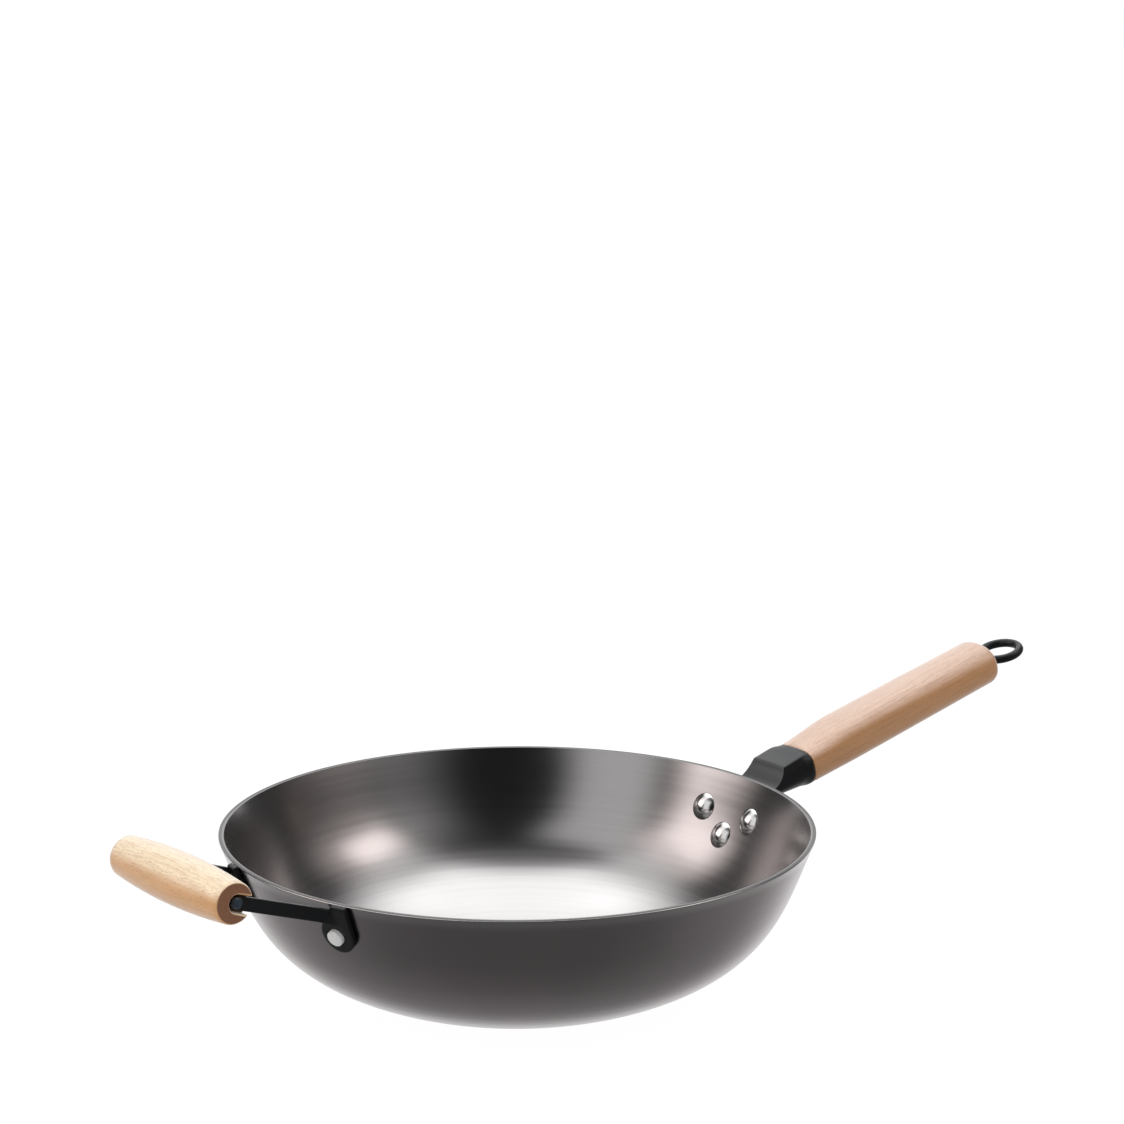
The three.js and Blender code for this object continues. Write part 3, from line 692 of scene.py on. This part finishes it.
# The heads of the helper handle's rivets are left as they came from the tumbler
bright_rivet, tree, shader = new_finish("tumbled_rivet")
shader.inputs["Metallic"].default_value = 0.35
dents = noise(tree, coordinates(tree, "Object"), 450, 3)
tree.links.new(blend_colours(tree, dents, (0.8, 0.8, 0.8, 1), white), shader.inputs["Base Color"])
tree.links.new(calc(tree, "MULTIPLY_ADD", dents, 0.2, 0.35), shader.inputs["Roughness"])
tree.links.new(add_bump(tree, dents, 0.4, 0.2 * mm), shader.inputs["Normal"])


def wall_frame(drop, azimuth):
    """Frame on the outer wall: X outwards, Z up the wall."""
    point, climb = wall_at(wall_share(rim_height - drop))
    lean = math.atan2(climb.x, climb.y)
    return (Matrix.Rotation(azimuth, 4, "Z") @ Matrix.Translation((point.x, 0, point.y))
            @ Matrix.Rotation(lean, 4, "Y"))


def make_rivet(name, place, plate, head, metal, node):
    """Rivet turned on its own axis, polished dome first, and set through the wall to its outer head."""
    inner, outer = -rim_thickness, plate + fit_gap
    rise = dome_height - dome_edge
    cap = (dome_radius**2 + rise**2) / (2 * rise)
    spread = math.degrees(math.asin(dome_radius / cap))
    skirt = dome_radius + 0.05 * mm
    outline = arc((0, inner - dome_height + cap), cap, -87, -90 + spread, 16)
    outline += [(skirt, inner - dome_edge * 0.6), (skirt, inner + 0.2 * mm)]
    outline += [(dome_radius, inner + 0.4 * mm), (shank_radius, inner + 0.5 * mm)]
    outline += [(shank_radius, outer - 0.2 * mm)]
    outline += [(head, outer - 0.1 * mm), (head, outer + head_height * 0.55)]
    outline += arc((head - head_round, outer + head_height * 0.62), head_round, 0, 80, 5)
    outline += [(head * 0.5, outer + head_height), (head * 0.2, outer + head_height)]
    rivet = turn_on_lathe(name, outline, 48)
    fit_piece(rivet, place @ Matrix.Rotation(math.pi / 2, 4, "Y"), rivet_steel, 50, node)
    if metal != rivet_steel:
        rivet.data.materials.append(metal)
        to_wall = place.inverted()
        for face in rivet.data.polygons:
            if (to_wall @ face.center).x > 0:
                face.material_index = 1


rivet_wall = wall_at(wall_share(rim_height - rivet_drop))[0].x
rivet_swing = math.asin(rivet_spacing / 2 / rivet_wall)
for name, drop, azimuth in (
        ("left", rivet_drop, rivet_swing), ("right", rivet_drop, -rivet_swing),
        ("lower", low_rivet_drop, 0)):
    make_rivet(
        f"handle_rivet_{name}_set", wall_frame(drop, azimuth), plate_thickness, bracket_head, rivet_steel,
        f"handle_rivet_{name}")

helper_turn = math.radians(0.8)
helper_drop, arm_root, rivet_offset, arm_thickness = 17 * mm, 42.5 * mm, 1.8 * mm, 3 * mm
helper_wall = wall_at(wall_share(rim_height - helper_drop))[0].x
helper_swing = {
    name: math.pi + helper_turn - math.asin((side * arm_root - rivet_offset) / helper_wall)
    for name, side in (("left", 1), ("right", -1))}
for name, azimuth in helper_swing.items():
    make_rivet(
        f"helper_rivet_{name}_set", wall_frame(helper_drop, azimuth), arm_thickness, helper_head,
        bright_rivet, f"helper_rivet_{name}")


# Long grip
# Turned and sanded beech, an oval that swells out of the socket and is rounded at the butt. A spigot
# sits in the socket, and a bore takes the bolt, with a sunk seat for its shoulder.
grip_length, grip_half, grip_top, grip_bottom = 152 * mm, 16.3 * mm, 13.9 * mm, 12.2 * mm
grip_fullness, butt_fullness = (3, 2.3), (2.3, 2.15)
shoulder, butt_round, seam, eased_edge = 36 * mm, 6.5 * mm, 0.35 * mm, 0.5 * mm
spigot_end, spigot_inset, bore = -11.7 * mm, 2.9 * mm, 3.3 * mm
ring_points, shoulder_steps, butt_steps = 80, 14, 12


def grip_ring(station, half, top, bottom, fullness):
    """Oval section of the grip at a station along the bolt."""
    turns = [2 * math.pi * i / ring_points for i in range(ring_points)]
    return [Vector((station, *oval(half, top, bottom, fullness, turn))) for turn in turns]


def grip_bore(station, radius):
    """Round section around the bolt."""
    return grip_ring(station, radius, radius, radius, (2, 2))


def between(first, last, share):
    """Values part of the way from a first set to a last."""
    return tuple(a + (b - a) * share for a, b in zip(first, last))


def close_tube():
    """Joins the last ring to the first, where they meet."""
    bpy.ops.mesh.select_all(action="SELECT")
    bpy.ops.mesh.remove_doubles(threshold=0.001 * mm)
    bpy.ops.mesh.normals_make_consistent(inside=False)


socket_sides, grip_sides = (socket_half, socket_top, socket_bottom), (grip_half, grip_top, grip_bottom)
spigot = [side - spigot_inset for side in socket_sides]
grip_rings = [grip_bore(spigot_end, bore)]
grip_rings += [grip_ring(station, *spigot, socket_fullness) for station in (spigot_end, seam)]
for back in (eased_edge, 0.2 * mm):
    sides = [side - back for side in socket_sides]
    grip_rings.append(grip_ring(seam + eased_edge - back, *sides, socket_fullness))
for i in range(1, shoulder_steps + 1):
    share = i / shoulder_steps
    grown = share * share * (3 - 2 * share)
    grip_rings.append(grip_ring(
        seam + eased_edge + share * shoulder, *between(socket_sides, grip_sides, grown),
        between(socket_fullness, grip_fullness, grown)))
for station, roundness in (
        (52, 0.05), (68, 0.2), (84, 0.38), (100, 0.56), (116, 0.75), (130, 0.9), (138, 0.97)):
    fullness = between(grip_fullness, butt_fullness, roundness)
    grip_rings.append(grip_ring(station * mm, *grip_sides, fullness))
for i in range(butt_steps + 1):
    turn = math.radians(90 * i / butt_steps)
    back = butt_round * (1 - math.cos(turn))
    station = grip_length - butt_round * (1 - math.sin(turn))
    grip_rings.append(grip_ring(station, *[side - back for side in grip_sides], butt_fullness))
for station, radius in ((152, 6.1), (151.7, 5.8), (149, 5.8)):
    grip_rings.append(grip_bore(station * mm, radius * mm))
grip_rings += [grip_bore(149 * mm, bore), grip_bore(spigot_end, bore)]
handle_grip = pull_sections("beech_grip", grip_rings, close_tube)


def stretched(tree, vector, factors):
    """A vector with its three parts scaled apart."""
    made = tree.nodes.new("ShaderNodeVectorMath")
    made.operation = "MULTIPLY"
    tree.links.new(vector, made.inputs[0])
    made.inputs[1].default_value = factors
    return made.outputs["Vector"]


# Beech's figure: broad bands, streaks, fibres and short dark flecks along X, and pores where it is cut, with
# a painted highlight on faces that look up
beech_figure = bpy.data.node_groups.new("beech_figure", "ShaderNodeTree")
for name, kind in (
        ("Place", "NodeSocketVector"), ("Facing", "NodeSocketVector"), ("Pale", "NodeSocketColor"),
        ("Tan", "NodeSocketColor"), ("Deep", "NodeSocketColor"), ("End", "NodeSocketColor"),
        ("Crown", "NodeSocketColor"), ("Crown Edge", "NodeSocketFloat")):
    beech_figure.interface.new_socket(name, in_out="INPUT", socket_type=kind)
for name, kind in (
        ("Colour", "NodeSocketColor"), ("Roughness", "NodeSocketFloat"), ("Height", "NodeSocketFloat")):
    beech_figure.interface.new_socket(name, in_out="OUTPUT", socket_type=kind)
tree = beech_figure
given = tree.nodes.new("NodeGroupInput").outputs
result = tree.nodes.new("NodeGroupOutput").inputs
place, facing = given["Place"], split(tree, given["Facing"])
bands = noise(tree, stretched(tree, place, (5, 70, 70)), 1, 3, 0.55, 0.4)
streaks = noise(tree, stretched(tree, place, (30, 900, 900)), 1, 4, 0.65, 0.3)
fibres = noise(tree, stretched(tree, place, (120, 3000, 3000)), 1, 2, 0.6)
flecks = fade(tree, noise(tree, stretched(tree, place, (330, 2300, 2300)), 1, 1), 0.58, 0.7)
colour = blend_colours(tree, fade(tree, bands, 0.32, 0.7), given["Pale"], given["Tan"])
# Faces that look up past the edge are painted towards a pale tone, a painted highlight for the light from
# above
above_edge = calc(tree, "SUBTRACT", facing["Z"], given["Crown Edge"])
painted_highlight_share = calc(tree, "MULTIPLY_ADD", bands, -0.3, 1.1)
painted_highlight_share = calc(tree, "MULTIPLY", fade(tree, above_edge, 0, 0.65), painted_highlight_share)
colour = blend_colours(tree, painted_highlight_share, colour, given["Crown"])
streak_share = calc(tree, "MULTIPLY", fade(tree, streaks, 0.42, 0.72), 0.42)
colour = blend_colours(tree, streak_share, colour, given["Deep"])
fibre_share = calc(tree, "MULTIPLY", fade(tree, fibres, 0.45, 0.75), 0.26)
colour = blend_colours(tree, fibre_share, colour, given["Deep"])
colour = blend_colours(tree, calc(tree, "MULTIPLY", flecks, 0.36), colour, given["End"])
pores = noise(tree, place, 1500, 2)
pore_share = calc(tree, "MULTIPLY", fade(tree, pores, 0.4, 0.75), 0.55)
end_tone = blend_colours(tree, pore_share, given["End"], (0.13, 0.06, 0.03, 1))
cut_across = fade(tree, calc(tree, "ABSOLUTE", facing["X"]), 0.76, 0.95)
tree.links.new(blend_colours(tree, cut_across, colour, end_tone), result["Colour"])
tree.links.new(calc(tree, "MULTIPLY_ADD", streaks, 0.14, 0.34), result["Roughness"])
fleck_depth = calc(tree, "MULTIPLY", flecks, 0.4)
tree.links.new(calc(tree, "SUBTRACT", calc(tree, "MULTIPLY", fibres, 0.7), fleck_depth), result["Height"])


def beech_material(name, turn, painted_highlight_edge, **tones):
    """Beech with its grain along the axis that a turn brings to X, with a painted highlight that makes it
    paler where it faces up past an edge.
    """
    made, tree, shader = new_finish(name)
    shader.inputs["Specular IOR Level"].default_value = 0.2
    shader.inputs["Coat Weight"].default_value = 0.8
    shader.inputs["Coat IOR"].default_value = 1.7
    shader.inputs["Coat Roughness"].default_value = 0.4
    shader.inputs["Sheen Weight"].default_value = 0.65
    shader.inputs["Sheen Roughness"].default_value = 0.4
    figure = tree.nodes.new("ShaderNodeGroup")
    figure.node_tree = beech_figure
    figure.inputs["Crown Edge"].default_value = painted_highlight_edge
    for socket, colour in tones.items():
        figure.inputs[socket].default_value = (*colour, 1)
    for source, target in (("Object", "Place"), ("Normal", "Facing")):
        turned = tree.nodes.new("ShaderNodeMapping")
        turned.inputs["Rotation"].default_value = turn
        tree.links.new(coordinates(tree, source), turned.inputs["Vector"])
        tree.links.new(turned.outputs["Vector"], figure.inputs[target])
    tree.links.new(figure.outputs["Colour"], shader.inputs["Base Color"])
    tree.links.new(figure.outputs["Roughness"], shader.inputs["Roughness"])
    tree.links.new(add_bump(tree, figure.outputs["Height"], 0.3, 0.08 * mm), shader.inputs["Normal"])
    return made


grip_beech = beech_material(
    "grip_beech", (0, tilt, 0), 0.25, Pale=(0.52, 0.26, 0.105), Tan=(0.46, 0.22, 0.083),
    Deep=(0.36, 0.155, 0.055), End=(0.31, 0.14, 0.062), Crown=(0.73, 0.5, 0.375))
fit_piece(handle_grip, handle_place, grip_beech, 40, "handle_grip")


# Hanging eye bolt
# Black steel rod through the whole grip into the lug. Its head is a round eye of bent wire, welded to
# a small shoulder that pulls the grip into its socket.
eye_radius, wire_radius, eye_station = 11.7 * mm, 2.5 * mm, 166.5 * mm
bolt_outline = [
    (2.2, -21.7), (3, -21.0), (3, 149.3), (5.2, 149.3), (5.5, 149.7), (5.5, 151.8), (5.1, 152.3),
    (3.6, 152.6), (3.1, 153.2), (3.0, 154.0), (2.6, 155.2), (1.0, 156.2)]
bolt = turn_on_lathe("eye_bolt_rod", [(r * mm, s * mm) for r, s in bolt_outline], 40)
set_in_place(bolt, Matrix.Rotation(math.pi / 2, 4, "Y"))
bpy.ops.object.select_all(action="DESELECT")
bpy.ops.mesh.primitive_torus_add(
    major_radius=eye_radius, minor_radius=wire_radius, major_segments=96, minor_segments=28,
    location=(eye_station, 0, 0))
eye = bpy.context.object
bpy.ops.object.transform_apply(location=True, rotation=True, scale=True)
hanging_eye_bolt = join_pieces("eye_bolt", eye, bolt)
fit_piece(hanging_eye_bolt, handle_place, black_coat, 40, "hanging_eye_bolt")


# Helper handle's arms
# Two black steel strips on edge, each with a round end in the barrel's slot. At the bowl each is bent
# along the wall, to a foot that widens into a round toe under its rivet.
barrel_rise, arm_root_drop, pin_offset, toe_in = 13.1 * mm, 7 * mm, 3 * mm, 2.5 * mm
barrel_middle = Vector((-212.5 * mm, 0, rim_height + barrel_rise))
root_x = -math.sqrt(rim_radius**2 - arm_root**2)
arm_slope = math.atan2(barrel_rise + arm_root_drop, root_x - barrel_middle.x)
pin_middle = barrel_middle + pin_offset * Vector((math.cos(arm_slope), 0, -math.sin(arm_slope)))
arm_splay = math.atan2(-toe_in, root_x - pin_middle.x)
arm_height, arm_side, strip_corner = 7.2 * mm, 45 * mm, 0.6 * mm
bend_back, arm_pull, foot_pull, foot_lead, bend_steps = 7 * mm, 5.5 * mm, 4 * mm, 0.03, 12
helper_place = Matrix.Rotation(helper_turn, 4, "Z")


def arm_frame(side):
    """Frame on the pin's axis: X down the arm to the bowl, Y across its thickness."""
    return (helper_place @ Matrix.Translation((pin_middle.x, side * arm_side, pin_middle.z))
            @ Matrix.Rotation(side * arm_splay, 4, "Z") @ Matrix.Rotation(arm_slope, 4, "Y"))


def strip_section(middle, thick_way, high_way, height, thickness):
    """Rounded section of the strip, about a point of its middle line."""
    corner = min(strip_corner, height * 0.4)
    ring = []
    for i, (across, up) in enumerate(((1, 1), (-1, 1), (-1, -1), (1, -1))):
        for k in range(5):
            turn = math.radians(90 * i + 22.5 * k)
            sideways = across * (thickness / 2 - corner) + corner * math.cos(turn)
            upwards = up * (height / 2 - corner) + corner * math.sin(turn)
            ring.append(middle + thick_way * sideways + high_way * upwards)
    return ring


toe_radius, foot_width, foot_top, toe_steps = 9.6 * mm, 8.5 * mm, 17.3 * mm, 36
foot_inner = toe_radius - foot_width
toe_start = math.atan2(foot_top, foot_inner) + math.acos(toe_radius / math.hypot(foot_inner, foot_top))
foot_outline = [(toe_radius, foot_top), (foot_inner, foot_top)]
for i in range(toe_steps + 1):
    turn = toe_start + (2 * math.pi - toe_start) * i / toe_steps
    foot_outline.append((toe_radius * math.cos(turn), toe_radius * math.sin(turn)))
foot_outline = along_edges(foot_outline, 1.6 * mm)

for name, side in (("left", 1), ("right", -1)):
    own = arm_frame(side)
    arm_way, thick_way, high_way = (
        own.to_3x3() @ Vector(axis) for axis in ((1, 0, 0), (0, 1, 0), (0, 0, 1)))
    arm_rings = []
    for turn in (8, 20, 35, 50, 65, 80, 90):
        turn = math.radians(turn)
        middle = own @ Vector((-arm_height / 2 * math.cos(turn), 0, 0))
        end_height = arm_height * math.sin(turn)
        arm_rings.append(strip_section(middle, thick_way, high_way, end_height, arm_thickness))
    touch = against_wall(own @ Vector((30 * mm, 0, 0)), arm_way, 0.0)
    bend_start = touch - arm_way * bend_back
    azimuth = helper_swing[name] + foot_lead
    wall_point, climb = wall_at(wall_share(touch.z))
    outward = Vector((math.cos(azimuth), math.sin(azimuth), 0))
    sideways = Vector((-outward.y, outward.x, 0))
    wall_normal = outward * climb.y - upward * climb.x
    wall_up = outward * climb.x + upward * climb.y
    bend_end = outward * wall_point.x + upward * touch.z + wall_normal * 1.8 * mm
    ends = (bend_start, bend_start + arm_way * arm_pull, bend_end - sideways * foot_pull, bend_end)
    for i in range(bend_steps + 1):
        share = i / bend_steps
        rest = 1 - share
        weights = (rest**3, 3 * rest**2 * share, 3 * rest * share**2, share**3)
        middle = sum((end * weight for end, weight in zip(ends, weights)), Vector())
        way = ((ends[1] - ends[0]) * rest**2 + (ends[2] - ends[1]) * 2 * rest * share
               + (ends[3] - ends[2]) * share**2).normalized()
        eased = share * share * (3 - 2 * share)
        high = high_way.lerp(wall_up, eased)
        high = (high - way * high.dot(way)).normalized()
        thickness = arm_thickness - 0.1 * mm
        arm_rings.append(strip_section(middle, high.cross(way), high, arm_height, thickness))
    arm = pull_sections(f"helper_arm_{name}_strip", arm_rings)
    foot = wall_sheet(
        f"helper_arm_{name}_foot", foot_outline, helper_swing[name], rim_height - helper_drop,
        arm_thickness)
    helper_arm = join_pieces(f"helper_arm_{name}", arm, foot)
    fit_piece(helper_arm, Matrix.Identity(4), black_coat, 40, f"helper_bracket_{name}")


# Helper grip
# Turned beech barrel, fullest in the middle. Each end is sawn with a round-bottomed slot that takes the
# end of an arm, and is bored through for the pin.
barrel_half, barrel_radius, barrel_end, end_round = 49.7 * mm, 13.5 * mm, 10.75 * mm, 1.2 * mm
flank, flank_steps = barrel_half - end_round, 32
barrel_outline = [(2 * mm, -barrel_half), (6 * mm, -barrel_half)]
barrel_outline += arc((barrel_end - end_round, -barrel_half + end_round), end_round, -90, -8, 6)
for i in range(flank_steps + 1):
    y = -flank + 2 * flank * i / flank_steps
    barrel_outline.append((barrel_radius - (barrel_radius - barrel_end) * (y / barrel_half) ** 2, y))
barrel_outline += arc((barrel_end - end_round, barrel_half - end_round), end_round, 8, 90, 6)
barrel_outline += [(6 * mm, barrel_half), (2 * mm, barrel_half)]
helper_grip = turn_on_lathe("beech_barrel", barrel_outline, 96)
along_barrel = Matrix.Rotation(-math.pi / 2, 4, "X")
set_in_place(helper_grip, helper_place @ Matrix.Translation(barrel_middle) @ along_barrel)

# Each slot is cut straight, and then again by a flared cutter that breaks its outer edge
slot_half, slot_lead, slot_length, flare = arm_height / 2 + 1.2 * mm, 1.5 * mm, 60 * mm, 3 * mm
slot_floor, mouth, bevel = arm_thickness / 2 + fit_gap, barrel_half - arm_side, 0.7 * mm
straight = (-slot_floor, 20 * mm, slot_half)
flared = (mouth - bevel, mouth + flare, slot_half + flare + bevel)
for side, (low, high, outer_half) in ((1, straight), (-1, straight), (1, flared), (-1, flared)):
    bpy.ops.object.select_all(action="DESELECT")
    bpy.ops.mesh.primitive_cone_add(
        vertices=48, radius1=slot_half, radius2=outer_half, depth=high - low,
        rotation=(-side * math.pi / 2, 0, 0))
    cutter = bpy.context.object
    bpy.ops.object.transform_apply(location=True, rotation=True, scale=True)
    bpy.ops.object.mode_set(mode="EDIT")
    mesh = bmesh.from_edit_mesh(cutter.data)
    for vertex in mesh.verts:
        vertex.select = vertex.co.x > -0.1 * mm
    mesh.select_flush_mode()
    bmesh.update_edit_mesh(cutter.data)
    bpy.ops.transform.translate(value=(slot_length, 0, 0))
    bpy.ops.object.mode_set(mode="OBJECT")
    cutter.matrix_world = arm_frame(side) @ Matrix.Translation((-slot_lead, side * (low + high) / 2, 0))
    use_modifier(helper_grip, "BOOLEAN", operation="DIFFERENCE", object=cutter, solver="EXACT")
    bpy.data.objects.remove(cutter)
# The barrel's tones are paler than the grip's: partly its own wood, partly painted light for the side box
# that lights it more than the grip
barrel_beech = beech_material(
    "barrel_beech", (0, 0, -math.pi / 2 - helper_turn), 0.05, Pale=(0.74, 0.415, 0.185),
    Tan=(0.67, 0.35, 0.138), Deep=(0.5, 0.235, 0.085), End=(0.25, 0.095, 0.033), Crown=(0.98, 0.82, 0.58))
fit_piece(helper_grip, Matrix.Identity(4), barrel_beech, 40, "helper_grip")


# Helper grip's pin
# Blued steel pin along the barrel, through both arms, with a low round head in each slot. The arms
# splay, so each head stands off far enough for its edge to clear the arm.
pin_radius, pin_head = 2.25 * mm, 3.2 * mm
arm_face = arm_side + arm_thickness / 2 / math.cos(arm_splay)
seat = arm_face + pin_head * math.tan(abs(arm_splay)) + 0.15 * mm
pin_outline = [(0.8 * mm, -seat - 1.6 * mm), (1.9 * mm, -seat - 1.5 * mm), (2.8 * mm, -seat - 1.1 * mm)]
pin_outline += [(pin_head, -seat - 0.6 * mm), (pin_head, -seat), (pin_radius, -seat)]
pin_outline += [(radius, -height) for radius, height in reversed(pin_outline)]
helper_pin = turn_on_lathe("barrel_pin", pin_outline, 40)
blued_steel, tree, shader = new_finish("blued_steel")
shader.inputs["Metallic"].default_value = 0.7
heat = noise(tree, coordinates(tree, "Object"), 300, 2)
blue_tone = blend_colours(tree, heat, (0.07, 0.095, 0.13, 1), (0.11, 0.14, 0.18, 1))
tree.links.new(blue_tone, shader.inputs["Base Color"])
tree.links.new(calc(tree, "MULTIPLY_ADD", heat, 0.1, 0.3), shader.inputs["Roughness"])
pin_place = helper_place @ Matrix.Translation(pin_middle) @ along_barrel
fit_piece(helper_pin, pin_place, blued_steel, 40, "helper_grip_pin")
